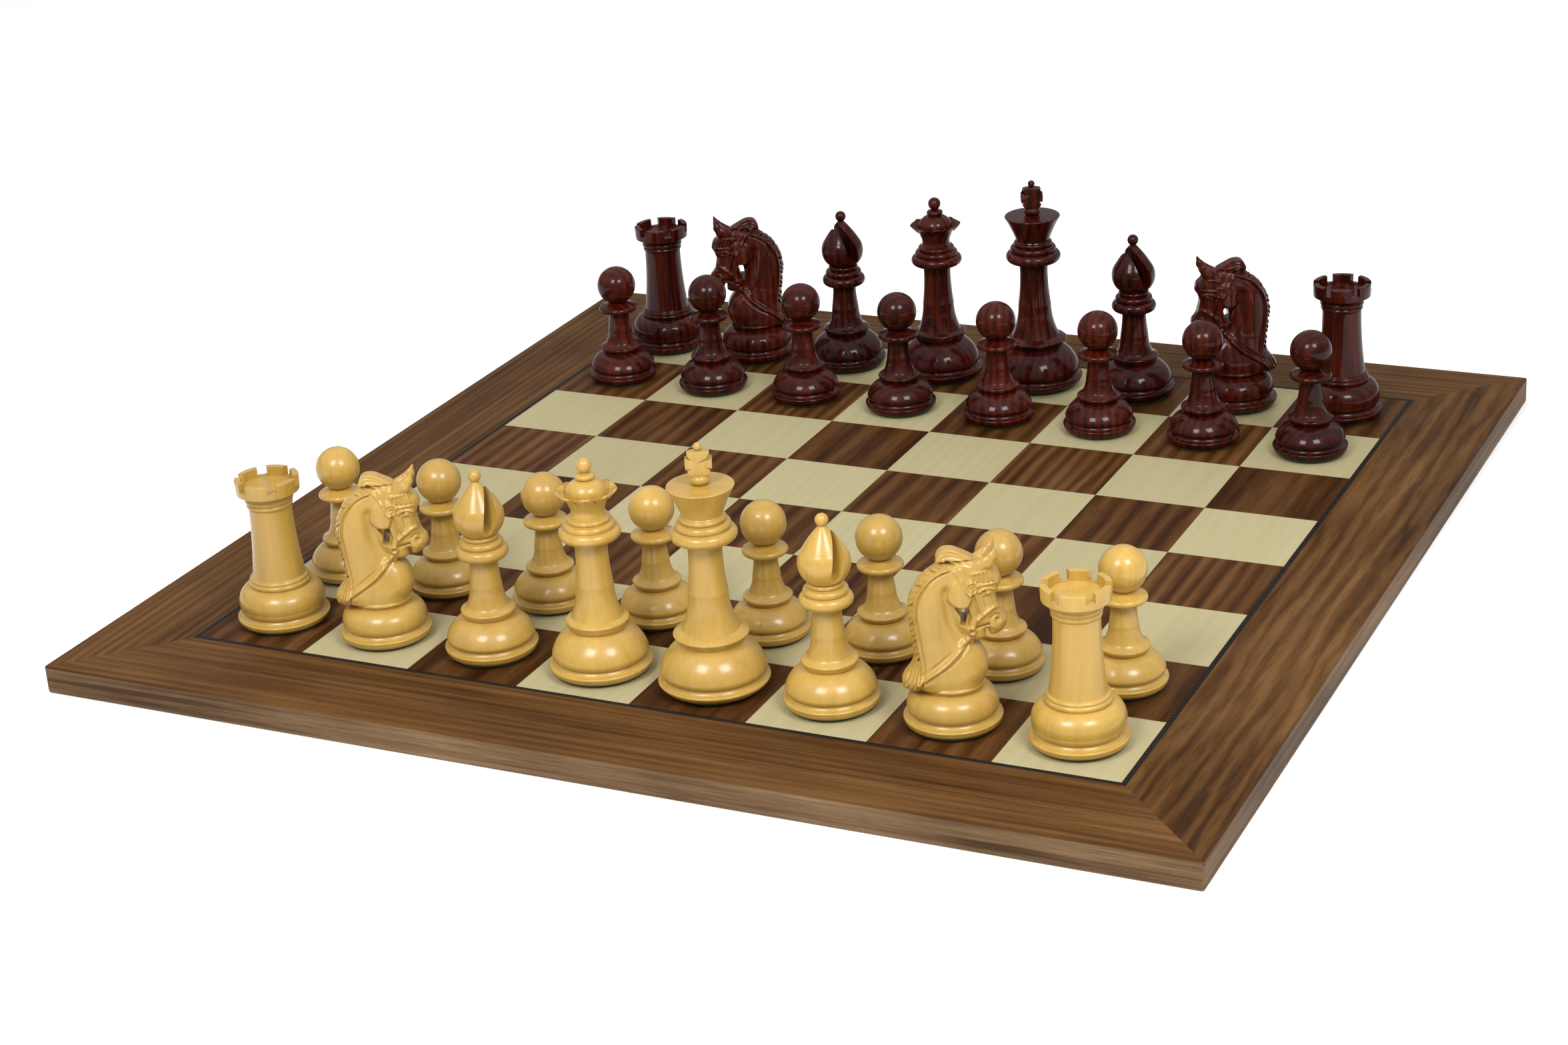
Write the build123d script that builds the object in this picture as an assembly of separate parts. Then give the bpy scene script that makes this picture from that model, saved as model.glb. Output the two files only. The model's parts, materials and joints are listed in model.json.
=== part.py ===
from build123d import *
import os
from math import asin, cos, pi, radians, sin, sqrt

# A chess set on its board. The board lies flat, White's side towards -Y, with
# the origin at the centre of its underside. Every chessman is drawn standing
# on its own base at height 0 and is then set down on its square.

# Driving dimensions of the board, in millimetres
SQUARE = 55.0              # side of one playing square
FILES = "abcdefgh"         # columns, from White's left
RANKS = 8
LINE_WIDTH = 2.5           # black line around the playing field
BORDER_WIDTH = 47.5        # walnut margin outside the line
BOARD_HEIGHT = 13.0
VENEER = 0.6               # thickness of every veneer
LIPPING = 3.0              # solid edge glued around the core
TOP_ARRIS = 0.5            # rounding of the border's upper edge
FOOT_ARRIS = 1.2           # rounding of the lower edge
CORNER_RADIUS = 1.5        # rounding of the four upright corners

FIELD_HALF = SQUARE * RANKS / 2
LINE_HALF = FIELD_HALF + LINE_WIDTH
BOARD_HALF = LINE_HALF + BORDER_WIDTH
CORE_HALF = BOARD_HALF - LIPPING
VENEER_FLOOR = BOARD_HEIGHT - VENEER

# Driving dimensions that all chessmen share
FELT = 1.2                 # thickness of the felt under a chessman
FELT_INSET = 0.6           # how far the felt stays inside the wood
WEIGHT_CLEARANCE = 5.0     # wood left around the weight, measured at the felt
CROSS_THICKNESS = 4.6
TENON_RADIUS = 1.6         # peg that holds a king's cross
TENON_LENGTH = 5.0
QUEEN_PETALS = 8
ROOK_NOTCHES = 6
NOTCH_WIDTH = 4.4
NOTCH_DEPTH = 4.0
NOTCH_TURN = -13.0         # way in which a rook's first notch is turned, in degrees
MITRE_SLOT = 4.2           # width of the cut through a bishop's mitre
MITRE_LEAN = 14.0          # how far that cut leans from upright, in degrees
MITRE_FLOOR = 59.0         # height of the cut's floor
MITRE_LENGTH = 22.8        # length of the cut, from its floor to below the ball
LOOP_HOLE_RADIUS = 1.2     # through the loop of hair on a knight's head
THROAT_WIDTH = 2.6         # the slot between a knight's neck and jaw
THROAT_HEIGHT = 6.5
THROAT_LEAN = 12.0         # degrees
ROSETTE_RADIUS = 2.2       # on each side of a knight's bridle
ROSETTE_THICKNESS = 2.4
TAIL_FLOOR = 17.0          # below the lowest hair of a knight's mane
HEADING = 27.0             # way in which White's men are turned, from +X, in degrees
BISHOP_TURN = 30.0         # how much further the bishops are turned

# A turned outline is a list of (radius, height, crown). Each entry runs from the
# point before it. The crown is how far that stretch bows out of the wood at its
# middle: 0 is straight, and a negative crown is a hollow.


def foot(felt, rim, rim_height, bulge, bulge_height, groove_height, neck, neck_height, shoulder):
    """The lower part of every chessman: dished rim, groove and bulge, up to the neck."""
    return [
        (felt + FELT_INSET, FELT, 0),
        (rim, rim_height, 0.7),
        (rim - 0.35, rim_height + 1.2, 0.3),
        (bulge - 1.3, groove_height, -0.45),
        (bulge, bulge_height, 0.5),
        (neck, neck_height, shoulder),
    ]


def ball(centre, radius, neck):
    """A ball on a neck, up to its top on the axis."""
    start = centre - sqrt(radius ** 2 - neck ** 2)
    half_sweep = (pi / 2 + asin((centre - start) / radius)) / 2
    return [(neck, start, 0), (0, centre + radius, radius * (1 - cos(half_sweep)))]


KING = foot(19.0, 24.0, 4.3, 22.9, 10.4, 7.5, 13.8, 21.9, 1.5) + [
    (16.1, 25.3, -0.3),    # flared ring
    (15.8, 26.3, 0.35),
    (12.5, 28.0, 0.15),
    (8.6, 45.0, -1.0),     # stem
    (7.3, 60.0, -0.25),
    (7.6, 68.0, -0.15),
    (12.0, 68.4, 0),       # three collars
    (12.2, 73.9, 2.2),
    (11.4, 74.1, 0),
    (10.0, 77.1, 1.2),
    (9.4, 77.3, 0),
    (8.9, 79.6, 0.9),
    (8.6, 80.1, 0),
    (14.4, 92.6, -0.3),    # flared head
    (13.9, 93.1, 0.1),
    (0, 93.5, 0),
]
QUEEN = foot(18.9, 22.6, 4.0, 21.0, 10.0, 7.0, 12.2, 20.6, 1.4) + [
    (13.6, 23.6, 0.3),     # round ring
    (13.0, 25.2, 0.5),
    (11.3, 26.0, 0),
    (8.2, 41.0, -0.8),     # stem
    (7.1, 55.0, -0.2),
    (7.3, 61.4, -0.1),
    (11.4, 62.2, 0),       # three collars
    (11.6, 67.2, 1.9),
    (10.9, 67.4, 0),
    (9.7, 70.0, 0.9),
    (9.0, 70.3, 0),
    (8.4, 72.4, 0.8),
    (7.6, 72.8, 0),
    (8.0, 77.6, -0.5),     # coronet, outside and inside
    (13.4, 83.4, -0.9),
    (12.4, 83.9, 0.2),
    (8.9, 81.6, -0.4),
    (4.2, 88.8, 1.5),      # dome
    (3.0, 89.2, 0),
    (3.2, 91.6, 1.2),      # button
    (1.5, 92.1, 0),
] + ball(95.2, 3.3, 1.6)
BISHOP = foot(17.2, 20.5, 4.3, 19.4, 9.8, 7.5, 10.8, 18.6, 1.5) + [
    (12.0, 20.8, 0.2),     # ring
    (11.6, 22.2, 0.4),
    (9.4, 23.6, 0),
    (7.2, 33.0, -0.5),     # stem
    (6.2, 42.0, -0.1),
    (6.4, 45.6, -0.1),
    (9.6, 46.2, 0),        # three collars
    (9.8, 51.4, 1.8),
    (9.0, 51.6, 0),
    (8.2, 54.6, 1.0),
    (7.2, 54.9, 0),
    (6.9, 57.0, 0.8),
    (11.2, 64.8, 1.1),     # mitre
    (9.4, 71.0, 0.55),
    (1.4, 81.6, 0.35),
] + ball(84.0, 2.85, 1.5)
ROOK = foot(17.4, 20.8, 3.8, 19.2, 9.8, 6.7, 13.4, 19.4, 2.4) + [
    (13.2, 21.8, 0.7),     # two beads
    (12.2, 23.5, 0.5),
    (12.0, 23.8, 0),
    (9.7, 55.0, -0.55),    # stem
    (9.8, 56.8, 0),
    (10.1, 59.0, 0.5),     # two thin beads
    (10.6, 61.4, 0.5),
    (14.2, 64.2, -0.4),    # head
    (14.5, 70.3, 0),
    (14.0, 70.8, 0.15),
    (11.6, 70.8, 0),
    (11.4, 66.4, 0),       # dished top inside the wall
    (0, 64.6, 0),
]
KNIGHT = foot(17.4, 20.5, 4.1, 19.0, 10.2, 7.0, 12.4, 17.6, 1.7) + [
    (13.2, 18.9, -0.3),    # plinth ring under the carved head
    (13.2, 20.4, 0.4),
    (12.9, 20.7, 0),
    (0, 20.7, 0),
]
PAWN = foot(15.2, 18.3, 4.0, 17.2, 9.3, 7.0, 9.2, 16.6, 1.3) + [
    (10.8, 18.4, 0.15),    # ring
    (10.5, 19.8, 0.4),
    (8.3, 21.4, 0),
    (6.3, 29.0, -0.45),    # stem
    (5.4, 36.0, -0.1),
    (5.5, 38.8, 0),
    (8.9, 39.3, 0),        # collar
    (9.4, 42.2, 1.1),
    (4.5, 44.2, -0.15),
] + ball(53.5, 10.2, 4.3)

HEAD_FLOOR = KNIGHT[-1][1]
CROSS_FLOOR = KING[-1][1]

# The carved head in side view, (forward, height, crown), anticlockwise from the chest
HEAD_SIDE = [
    (12.6, HEAD_FLOOR, 0),
    (15.0, 28.3, 0.7),     # chest
    (9.0, 38.0, 1.3),
    (9.6, 39.3, 0),        # jaw
    (14.6, 40.6, 0),
    (15.6, 42.6, 0),       # mouth
    (18.4, 40.8, 0),
    (22.6, 44.4, 0.6),     # nose
    (22.4, 48.8, 0.6),
    (18.9, 58.5, -0.2),    # face
    (20.4, 62.6, 0.3),     # forelock
    (18.4, 67.6, 0.8),
    (19.4, 79.4, -0.5),    # ears
    (11.0, 73.4, -0.6),
    (0.0, 78.7, 0.6),      # loop of hair behind the ears
    (-4.8, 71.8, 1.6),
    (-12.8, 65.0, 0.6),    # mane
    (-17.2, 52.0, 0.9),
    (-15.4, 36.0, 0),
    (-15.2, 30.0, -0.3),
    (-20.4, 23.4, -0.4),
    (-20.4, 18.0, 0),
    (-13.8, 18.0, 0),
    (-13.8, HEAD_FLOOR, 0),
]
# Half of the same head in front view, (sideways, height, crown), from the plinth upwards
HEAD_FRONT = [
    (12.4, HEAD_FLOOR, 0),
    (12.0, 26.0, -0.4),
    (8.0, 40.0, 0.6),
    (7.4, 58.0, -0.3),
    (5.6, 72.0, -0.2),
    (5.2, 80.0, 0),
]
EAR_GAP = 3.6              # space between the two ears
HEAD_REACH = 30.0          # more than half the head's length and width

BACK_RANK = ["rook", "knight", "bishop", "queen", "king", "bishop", "knight", "rook"]
OUTLINES = {"king": KING, "queen": QUEEN, "bishop": BISHOP, "knight": KNIGHT, "rook": ROOK, "pawn": PAWN}
WEIGHT_HEIGHT = {"king": 13.0, "queen": 12.0, "bishop": 11.0, "knight": 10.0, "rook": 11.0, "pawn": 8.5}


def stretches(points, start):
    """Straight and round edges through the points, in the plane (across, 0, height)."""
    edges = []
    here = Vector(start[0], 0, start[1])
    for across, height, crown in points:
        there = Vector(across, 0, height)
        if crown == 0:
            edges.append(Line(here, there))
        else:
            run = (there - here).normalized()
            outward = Vector(run.Z, 0, -run.X)
            edges.append(ThreePointArc(here, (here + there) / 2 + outward * crown, there))
        here = there
    return edges


def turned(outline):
    """The outline spun about the upright axis, from the underside to its top."""
    edges = stretches(outline, (0, outline[0][1]))
    edges.append(Line((0, 0, outline[-1][1]), (0, 0, outline[0][1])))
    return revolve(make_face(Wire(edges)), axis=Axis.Z)


def disc(radius, floor, height):
    return Pos(0, 0, floor + height / 2) * Cylinder(radius, height)


# Chessmen


def felt_of(kind):
    return disc(OUTLINES[kind][0][0] - FELT_INSET, 0, FELT)


def weight_of(kind):
    radius = OUTLINES[kind][0][0] - FELT_INSET - WEIGHT_CLEARANCE
    return disc(radius, FELT, WEIGHT_HEIGHT[kind])


def petal_gaps():
    """Round cuts between the petals of a queen's coronet."""
    rim_radius = 13.4
    rim_height = 85.2
    cutter = Pos(rim_radius, 0, rim_height) * Rot(0, 90, 0) * Cylinder(2.6, 7)
    return [Rot(0, 0, (n + 0.5) * 360 / QUEEN_PETALS) * cutter for n in range(QUEEN_PETALS)]


def battlement_gaps():
    """Three bars across a rook's head, each cutting two opposite notches."""
    top = 70.8
    bar = Pos(0, 0, top) * Box(40, NOTCH_WIDTH, 2 * NOTCH_DEPTH)
    return [Rot(0, 0, NOTCH_TURN + n * 360 / ROOK_NOTCHES) * bar for n in range(ROOK_NOTCHES // 2)]


def mitre_cut():
    """The leaning slot through a bishop's mitre, open at the top and on two sides."""
    blade = Pos(0, 0, MITRE_LENGTH / 2) * Box(MITRE_SLOT, 40, MITRE_LENGTH)
    return Pos(-1.6, 0, MITRE_FLOOR) * Rot(0, MITRE_LEAN, 0) * blade


def turned_body(kind):
    """The turned wood of a chessman, bored for its weight."""
    body = turned(OUTLINES[kind]) - weight_of(kind)
    if kind == "queen":
        body -= petal_gaps()
    if kind == "rook":
        body -= battlement_gaps()
    if kind == "bishop":
        body -= mitre_cut()
    if kind == "king":
        body -= disc(TENON_RADIUS, CROSS_FLOOR - TENON_LENGTH, 2 * TENON_LENGTH)
    return body


def king_cross():
    """The carved cross with its bead, ball and peg."""
    bead = turned([(3.0, CROSS_FLOOR, 0), (3.0, 97.4, 1.2), (0, 97.4, 0)])
    top_ball = turned([(0.9, 107.6, 0)] + ball(110.0, 1.8, 0.9))
    peg = disc(TENON_RADIUS, CROSS_FLOOR - TENON_LENGTH, TENON_LENGTH + 1)
    half = [
        (3.4, 97.2, 0),
        (4.8, 98.8, 0),
        (2.6, 101.2, 0.4),
        (5.6, 100.4, 0),
        (5.6, 105.4, 0),
        (2.6, 104.8, 0),
        (4.7, 107.6, 0.4),
        (0, 108.4, 0.15),
    ]
    edges = stretches(half, (0, 97.2))
    edges.append(Line((0, 0, 108.4), (0, 0, 97.2)))
    right = extrude(make_face(Wire(edges)), CROSS_THICKNESS / 2, both=True)
    return bead + peg + top_ball + right + mirror(right, about=Plane.YZ)


def knight_head():
    """The carved horse: its side view and its front view cut through each other."""
    side = extrude(make_face(Wire(stretches(HEAD_SIDE[1:] + HEAD_SIDE[:1], HEAD_SIDE[0]))), HEAD_REACH, both=True)
    edges = stretches(HEAD_FRONT[1:], HEAD_FRONT[0])
    top = HEAD_FRONT[-1]
    edges.append(Line((top[0], 0, top[1]), (0, 0, top[1])))
    edges.append(Line((0, 0, top[1]), (0, 0, TAIL_FLOOR)))
    edges.append(Line((0, 0, TAIL_FLOOR), (HEAD_FRONT[0][0], 0, TAIL_FLOOR)))
    edges.append(Line((HEAD_FRONT[0][0], 0, TAIL_FLOOR), (HEAD_FRONT[0][0], 0, HEAD_FLOOR)))
    half = extrude(make_face(Wire(edges)), HEAD_REACH, both=True)
    front = Rot(0, 0, 90) * (half + mirror(half, about=Plane.YZ))
    head = side & front
    head -= Pos(17, 0, 80) * Box(13, EAR_GAP, 13)
    head -= Pos(-0.4, 0, 73.6) * Rot(90, 0, 0) * Cylinder(LOOP_HOLE_RADIUS, HEAD_REACH)
    head -= Pos(5.7, 0, 50.5) * Rot(0, THROAT_LEAN, 0) * Box(THROAT_WIDTH, HEAD_REACH, THROAT_HEIGHT)
    for side_sign in (-1, 1):
        head += Pos(9.0, side_sign * 6.6, 63.1) * Rot(90, 0, 0) * Cylinder(ROSETTE_RADIUS, ROSETTE_THICKNESS)
    return head


# Board


def slab(half, floor, height):
    return Pos(0, 0, floor + height / 2) * Box(2 * half, 2 * half, height)


def mitred_strip(inner, outer, floor, height):
    """The front one of four strips that frame a square, with its ends cut at 45 degrees."""
    outline = Polyline((-outer, -outer), (outer, -outer), (inner, -inner), (-inner, -inner), close=True)
    return Pos(0, 0, floor) * extrude(make_face(outline), height)


def rounded_block(top_round, foot_round):
    """The board's outer shape, with its corners, upper edge and lower edge rounded."""
    block = extrude(RectangleRounded(2 * BOARD_HALF, 2 * BOARD_HALF, CORNER_RADIUS), BOARD_HEIGHT)
    block = fillet(block.faces().sort_by(Axis.Z)[-1].edges(), top_round)
    return fillet(block.faces().sort_by(Axis.Z)[0].edges(), foot_round)


def square_centre(column, row):
    return (column - (RANKS - 1) / 2) * SQUARE, (row - (RANKS - 1) / 2) * SQUARE


def squares(parity):
    """All squares of one colour, as separate pieces of veneer."""
    tiles = []
    for column in range(RANKS):
        for row in range(RANKS):
            if (column + row) % 2 == parity:
                x, y = square_centre(column, row)
                tiles.append(Pos(x, y, VENEER_FLOOR + VENEER / 2) * Box(SQUARE, SQUARE, VENEER))
    return tiles


def board_nodes():
    nodes = {
        "core_panel": [slab(CORE_HALF, VENEER, VENEER_FLOOR - VENEER)],
        "backing_veneer": [slab(CORE_HALF, 0, VENEER)],
        "dark_squares": squares(0),
        "light_squares": squares(1),
    }
    outer_shape = rounded_block(TOP_ARRIS, FOOT_ARRIS)
    for turn, side in enumerate(("front", "right", "back", "left")):
        place = Rot(0, 0, 90 * turn)
        line = mitred_strip(FIELD_HALF, LINE_HALF, VENEER_FLOOR, VENEER)
        border = mitred_strip(LINE_HALF, BOARD_HALF, VENEER_FLOOR, VENEER)
        lipping = mitred_strip(CORE_HALF, BOARD_HALF, 0, VENEER_FLOOR)
        nodes["line_" + side] = [place * line]
        nodes["border_" + side] = [place * (border & outer_shape)]
        nodes["lipping_" + side] = [place * (lipping & outer_shape)]
    return nodes


def man_nodes(name, kind, place):
    """The nodes of one chessman, already set down on its square."""
    body = [turned_body(kind)]
    inside = [weight_of(kind), felt_of(kind)]
    nodes = {}
    if kind == "king":
        nodes[name + "_cross"] = [king_cross()]
        nodes[name + "_weight"] = inside[:1]
        nodes[name + "_felt"] = inside[1:]
    else:
        body += inside
    if kind == "knight":
        nodes[name + "_head"] = [knight_head()]
    nodes[name] = body
    return {node: [place * solid for solid in solids] for node, solids in nodes.items()}


def chessmen():
    """Every chessman by name: its kind, column, row and heading."""
    men = {}
    for side, home, front, heading in (("white", 0, 1, HEADING), ("red", 7, 6, HEADING + 180)):
        for column, kind in enumerate(BACK_RANK):
            alone = kind in ("king", "queen")
            name = f"{side}_{kind}" if alone else f"{side}_{kind}_{FILES[column]}"
            turn = BISHOP_TURN if kind == "bishop" else 0
            men[name] = (kind, column, home, heading + turn)
        for column in range(RANKS):
            men[f"{side}_pawn_{FILES[column]}"] = ("pawn", column, front, heading)
    return men


def export(nodes):
    os.makedirs("parts", exist_ok=True)
    for name, solids in nodes.items():
        plain = [solid for shape in solids for solid in shape.solids()]
        whole = plain[0] if len(plain) == 1 else Compound(plain)
        whole.label = name
        export_step(whole, f"parts/{name}.step")


nodes = board_nodes()
for name, (kind, column, row, heading) in chessmen().items():
    x, y = square_centre(column, row)
    nodes.update(man_nodes(name, kind, Pos(x, y, BOARD_HEIGHT) * Rot(0, 0, heading)))
export(nodes)
print(len(nodes), "nodes")
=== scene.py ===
import json
import math
import bmesh
import bpy
import numpy as np
from mathutils import Matrix, Vector

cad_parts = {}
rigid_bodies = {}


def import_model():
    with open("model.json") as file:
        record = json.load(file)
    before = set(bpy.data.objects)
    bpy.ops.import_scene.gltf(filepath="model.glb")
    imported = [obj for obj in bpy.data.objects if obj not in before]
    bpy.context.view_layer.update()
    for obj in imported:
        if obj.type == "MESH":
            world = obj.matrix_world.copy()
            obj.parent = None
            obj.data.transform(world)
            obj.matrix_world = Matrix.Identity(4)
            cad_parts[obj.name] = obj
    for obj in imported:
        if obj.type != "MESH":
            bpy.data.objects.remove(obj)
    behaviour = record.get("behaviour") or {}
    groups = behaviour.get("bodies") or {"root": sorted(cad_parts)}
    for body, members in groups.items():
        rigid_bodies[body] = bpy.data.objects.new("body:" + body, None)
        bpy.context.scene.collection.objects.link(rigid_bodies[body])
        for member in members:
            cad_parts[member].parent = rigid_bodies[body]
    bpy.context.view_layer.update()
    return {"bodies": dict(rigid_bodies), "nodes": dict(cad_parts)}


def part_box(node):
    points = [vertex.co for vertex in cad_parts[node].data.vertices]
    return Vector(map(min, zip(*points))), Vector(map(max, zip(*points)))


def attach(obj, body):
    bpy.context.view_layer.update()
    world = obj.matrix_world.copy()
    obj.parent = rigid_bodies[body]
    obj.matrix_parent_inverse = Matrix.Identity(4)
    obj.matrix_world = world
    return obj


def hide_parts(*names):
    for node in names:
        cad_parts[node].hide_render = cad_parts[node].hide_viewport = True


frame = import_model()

MM = 0.001

# ---------------------------------------------------------------------------
# Sizes, in millimetres. Outlines are (radius, height, crown) as in the CAD
# model: the crown is how far a stretch bows out of the wood at its middle.
# ---------------------------------------------------------------------------
FELT = 1.2                 # thickness of the felts
FELT_INSET = 0.6           # from the edge of the wood
SQUARE = 55.0              # side of one playing square
QUEEN_PETALS = 8
PETAL_CUT, PETAL_DROP, PETAL_LIFT = 2.9, 2.4, 0.6
ROOK_NOTCHES = 6
NOTCH_WIDTH = 4.4
NOTCH_DEPTH = 4.0
NOTCH_TURN = -13.0         # of the first notch, from a rook's own heading
BISHOP_TURN = 30.0         # of the mitre's cut, from the other men's heading
SEGMENTS = 120             # facets round a turned body
ARC_STEP = 0.35            # longest straight step along a round stretch


def foot(felt, rim, rim_height, bulge, bulge_height, groove_height, neck, neck_height, shoulder):
    """The lower part of every chessman: dished rim, groove and bulge, up to the neck."""
    return [
        (felt + FELT_INSET, FELT, 0),
        (rim, rim_height, 0.7),
        (rim - 0.5, rim_height + 1.2, 0.4),
        (bulge - 1.3, groove_height, -0.45),
        (bulge, bulge_height, 0.5),
        (neck, neck_height, shoulder),
    ]


def ball(centre, radius, neck):
    """A ball on a neck, up to its top on the axis."""
    start = centre - math.sqrt(radius ** 2 - neck ** 2)
    half_sweep = (math.pi / 2 + math.asin((centre - start) / radius)) / 2
    return [(neck, start, 0), (0, centre + radius, radius * (1 - math.cos(half_sweep)))]


KING = foot(19.0, 24.0, 4.3, 22.9, 10.4, 7.5, 13.8, 21.9, 1.5) + [
    (16.1, 25.3, -0.3), (15.8, 26.3, 0.35), (12.5, 28.0, 0.15),
    (8.6, 45.0, -1.0), (7.3, 60.0, -0.25), (7.6, 68.0, -0.15),
    (12.0, 68.4, 0), (12.2, 73.9, 2.2), (11.4, 74.1, 0), (10.0, 77.1, 1.2),
    (9.4, 77.3, 0), (8.9, 79.6, 0.9), (8.6, 80.1, 0),
    (14.4, 92.6, -0.3), (13.9, 93.1, 0.15), (0, 93.5, 0),
]
QUEEN = foot(18.9, 22.6, 4.0, 21.0, 10.0, 7.0, 12.2, 20.6, 1.4) + [
    (13.6, 23.6, 0.3), (13.0, 25.2, 0.5), (11.3, 26.0, 0),
    (8.2, 41.0, -0.8), (7.1, 55.0, -0.2), (7.3, 61.4, -0.1),
    (11.4, 62.2, 0), (11.6, 67.2, 1.9), (10.9, 67.4, 0), (9.7, 70.0, 0.9),
    (9.0, 70.3, 0), (8.4, 72.4, 0.8), (7.6, 72.8, 0),
    (8.0, 77.6, -0.5), (13.4, 83.4, -0.9), (12.4, 83.9, 0.3), (8.9, 81.6, -0.4),
    (4.2, 88.8, 1.5), (3.0, 89.2, 0), (3.2, 91.6, 1.2), (1.5, 92.1, 0),
] + ball(95.2, 3.3, 1.6)
BISHOP = foot(17.2, 20.5, 4.3, 19.4, 9.8, 7.5, 10.8, 18.6, 1.5) + [
    (12.0, 20.8, 0.2), (11.6, 22.2, 0.4), (9.4, 23.6, 0),
    (7.2, 33.0, -0.5), (6.2, 42.0, -0.1), (6.4, 45.6, -0.1),
    (9.6, 46.2, 0), (9.8, 51.4, 1.8), (9.0, 51.6, 0), (8.2, 54.6, 1.0),
    (7.2, 54.9, 0), (6.9, 57.0, 0.8),
    (11.2, 64.8, 1.1), (9.4, 71.0, 0.55), (1.4, 81.6, 0.35),
] + ball(84.0, 2.85, 1.5)
ROOK = foot(17.4, 20.8, 3.8, 19.2, 9.8, 6.7, 13.4, 19.4, 2.4) + [
    (13.2, 21.8, 0.7), (12.2, 23.5, 0.5), (12.0, 23.8, 0), (9.7, 55.0, -0.55),
    (9.8, 56.8, 0), (10.1, 59.0, 0.5), (10.6, 61.4, 0.5), (14.2, 64.2, -0.4),
    (14.5, 70.3, 0), (14.0, 70.8, 0.15), (11.9, 70.8, 0), (11.6, 70.5, 0.1), (11.4, 66.4, 0), (0, 64.6, 0),
]
KNIGHT = foot(17.4, 20.5, 4.1, 19.0, 10.2, 7.0, 12.4, 17.6, 1.7) + [
    (13.2, 18.9, -0.3), (13.2, 20.4, 0.4), (12.9, 20.7, 0), (0, 20.7, 0),
]
PAWN = foot(15.2, 18.3, 4.0, 17.2, 9.3, 7.0, 9.2, 16.6, 1.3) + [
    (10.8, 18.4, 0.15), (10.5, 19.8, 0.4), (8.3, 21.4, 0),
    (6.3, 29.0, -0.45), (5.4, 36.0, -0.1), (5.5, 38.8, 0),
    (8.9, 39.3, 0), (9.4, 42.2, 1.1), (4.5, 44.2, -0.15),
] + ball(53.5, 10.2, 4.3)
OUTLINES = {"king": KING, "queen": QUEEN, "bishop": BISHOP, "knight": KNIGHT, "rook": ROOK, "pawn": PAWN}
CROSS_FLOOR = KING[-1][1]
HEAD_FLOOR = KNIGHT[-1][1]


def bowed(start, end, crown):
    """Points along a stretch from start to end, without its first point."""
    start, end = np.array(start, float), np.array(end, float)
    length = np.hypot(*(end - start))
    if crown == 0 or length < 1e-6:
        return [end]
    outward = np.array([end[1] - start[1], start[0] - end[0]]) / length
    radius = (length ** 2 / 4 + crown ** 2) / (2 * abs(crown))
    sign = math.copysign(1, crown)
    half = 2 * math.atan2(2 * abs(crown), length)
    centre = (start + end) / 2 + outward * (crown - sign * radius)
    middle = outward * sign
    steps = max(2, math.ceil(2 * half * radius / ARC_STEP), math.ceil(half / 0.12))
    points = []
    for n in range(1, steps + 1):
        angle = sign * (half * 2 * n / steps - half)
        turn = np.array([[math.cos(angle), -math.sin(angle)], [math.sin(angle), math.cos(angle)]])
        points.append(centre + turn @ middle * radius)
    points[-1] = end
    return points


def traced(outline, start):
    """The whole outline as points."""
    points = [np.array(start, float)]
    for across, height, crown in outline:
        points += bowed(points[-1], (across, height), crown)
    return np.array(points)


def mesh_from(name, vertices, faces, sharp=35):
    mesh = bpy.data.meshes.new(name)
    mesh.from_pydata([tuple(v * MM) for v in np.asarray(vertices)], [], faces)
    mesh.validate()
    mesh.shade_smooth()
    mesh.set_sharp_from_angle(angle=math.radians(sharp))
    return mesh


def spin(name, profile, shape=None, segments=SEGMENTS):
    """A closed turned mesh. shape may move each ring: it takes radius, height and angles."""
    rings = [p for p in profile if p[0] > 1e-6]
    angles = np.arange(segments) * 2 * math.pi / segments
    vertices = [(0, 0, profile[0][1])]
    for radius, height in rings:
        r, z = (radius + 0 * angles, height + 0 * angles) if shape is None else shape(radius, height, angles)
        vertices += list(zip(r * np.cos(angles), r * np.sin(angles), z))
    vertices.append((0, 0, profile[-1][1]))
    faces = []
    for n in range(segments):
        m = (n + 1) % segments
        faces.append((0, 1 + m, 1 + n))
        for k in range(len(rings) - 1):
            low, high = 1 + k * segments, 1 + (k + 1) * segments
            faces.append((low + n, low + m, high + m, high + n))
        top = 1 + (len(rings) - 1) * segments
        faces.append((top + n, top + m, len(vertices) - 1))
    return mesh_from(name, np.array(vertices, float), faces)


def cut(mesh, cutters):
    """The mesh with the cutter meshes taken out of it."""
    scene = bpy.context.scene.collection
    body = bpy.data.objects.new("body", mesh)
    scene.objects.link(body)
    tools = []
    for cutter in cutters:
        tool = bpy.data.objects.new("cutter", cutter)
        scene.objects.link(tool)
        tools.append(tool)
        step = body.modifiers.new("cut", "BOOLEAN")
        step.operation = "DIFFERENCE"
        step.solver = "EXACT"
        step.object = tool
    graph = bpy.context.evaluated_depsgraph_get()
    result = bpy.data.meshes.new_from_object(body.evaluated_get(graph))
    for tool in [body] + tools:
        bpy.data.objects.remove(tool)
    result.shade_smooth()
    result.set_sharp_from_angle(angle=math.radians(35))
    return result


def block(size, place):
    """A box mesh of that size in millimetres, moved by the matrix."""
    mesh = bpy.data.meshes.new("block")
    shape = bmesh.new()
    bmesh.ops.create_cube(shape, size=1, matrix=place @ Matrix.Diagonal((*size, 1)))
    bmesh.ops.scale(shape, vec=(MM, MM, MM), verts=shape.verts)
    shape.to_mesh(mesh)
    shape.free()
    return mesh


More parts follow.
